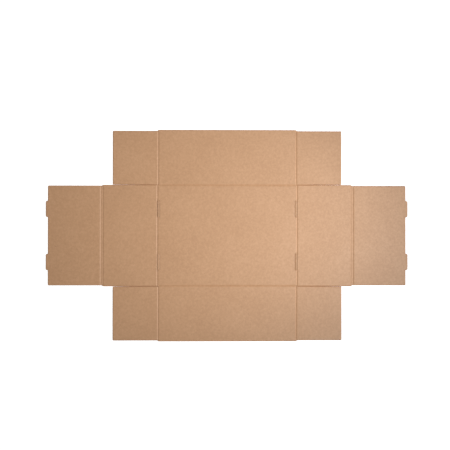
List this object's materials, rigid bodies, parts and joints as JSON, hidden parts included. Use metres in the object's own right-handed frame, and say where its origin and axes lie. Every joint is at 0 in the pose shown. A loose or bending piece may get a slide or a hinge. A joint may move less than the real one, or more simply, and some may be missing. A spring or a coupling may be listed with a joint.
{
  "type": "flat die-cut corrugated tray blank",
  "caption": "Flat kraft corrugated blank whose creased walls, corner flaps and tabbed roll-over ends fold up into an open tray.",
  "frame": {"origin": "middle of the base panel on its outer face, which lies down", "axes": "+X along the tray's length, +Y towards the back long wall, +Z out of the face that becomes the inside"},
  "size_m": [0.7238, 0.422, 0.0016],
  "materials": {
    "kraft_board": "matt brown kraft liner on fine-flute corrugated board"
  },
  "bodies": {
    "base_panel": {"base_panel": "kraft_board"},
    "long_wall_back": {"long_wall_back": "kraft_board"},
    "long_wall_front": {"long_wall_front": "kraft_board"},
    "corner_flap_back_left": {"corner_flap_back_left": "kraft_board"},
    "corner_flap_back_right": {"corner_flap_back_right": "kraft_board"},
    "corner_flap_front_left": {"corner_flap_front_left": "kraft_board"},
    "corner_flap_front_right": {"corner_flap_front_right": "kraft_board"},
    "end_wall_left": {"end_wall_left": "kraft_board"},
    "end_wall_right": {"end_wall_right": "kraft_board"},
    "rim_strip_left": {"rim_strip_left": "kraft_board"},
    "rim_strip_right": {"rim_strip_right": "kraft_board"},
    "roll_over_left": {"roll_over_left": "kraft_board"},
    "roll_over_right": {"roll_over_right": "kraft_board"}
  },
  "joints": [
    {"name": "long_wall_back_fold", "type": "hinge", "parent": "base_panel", "child": "long_wall_back", "pos_m": [0, 0.1008, 0.0008], "axis": [1, 0, 0], "range_deg": [0, 90]},
    {"name": "long_wall_front_fold", "type": "hinge", "parent": "base_panel", "child": "long_wall_front", "pos_m": [0, -0.1008, 0.0008], "axis": [-1, 0, 0], "range_deg": [0, 90]},
    {"name": "corner_flap_back_left_fold", "type": "hinge", "parent": "long_wall_back", "child": "corner_flap_back_left", "pos_m": [-0.13825, 0.1008, 0.0008], "axis": [0, 1, 0], "range_deg": [0, 90]},
    {"name": "corner_flap_back_right_fold", "type": "hinge", "parent": "long_wall_back", "child": "corner_flap_back_right", "pos_m": [0.13825, 0.1008, 0.0008], "axis": [0, -1, 0], "range_deg": [0, 90]},
    {"name": "corner_flap_front_left_fold", "type": "hinge", "parent": "long_wall_front", "child": "corner_flap_front_left", "pos_m": [-0.13825, -0.1008, 0.0008], "axis": [0, 1, 0], "range_deg": [0, 90]},
    {"name": "corner_flap_front_right_fold", "type": "hinge", "parent": "long_wall_front", "child": "corner_flap_front_right", "pos_m": [0.13825, -0.1008, 0.0008], "axis": [0, -1, 0], "range_deg": [0, 90]},
    {"name": "end_wall_left_fold", "type": "hinge", "parent": "base_panel", "child": "end_wall_left", "pos_m": [-0.14, 0, 0.0008], "axis": [0, 1, 0], "range_deg": [0, 90]},
    {"name": "rim_strip_left_fold", "type": "hinge", "parent": "end_wall_left", "child": "rim_strip_left", "pos_m": [-0.2492, 0, 0.0008], "axis": [0, 1, 0], "range_deg": [0, 90]},
    {"name": "roll_over_left_fold", "type": "hinge", "parent": "rim_strip_left", "child": "roll_over_left", "pos_m": [-0.2527, 0, 0.0008], "axis": [0, 1, 0], "range_deg": [0, 90]},
    {"name": "end_wall_right_fold", "type": "hinge", "parent": "base_panel", "child": "end_wall_right", "pos_m": [0.14, 0, 0.0008], "axis": [0, -1, 0], "range_deg": [0, 90]},
    {"name": "rim_strip_right_fold", "type": "hinge", "parent": "end_wall_right", "child": "rim_strip_right", "pos_m": [0.2492, 0, 0.0008], "axis": [0, -1, 0], "range_deg": [0, 90]},
    {"name": "roll_over_right_fold", "type": "hinge", "parent": "rim_strip_right", "child": "roll_over_right", "pos_m": [0.2527, 0, 0.0008], "axis": [0, -1, 0], "range_deg": [0, 90]}
  ]
}
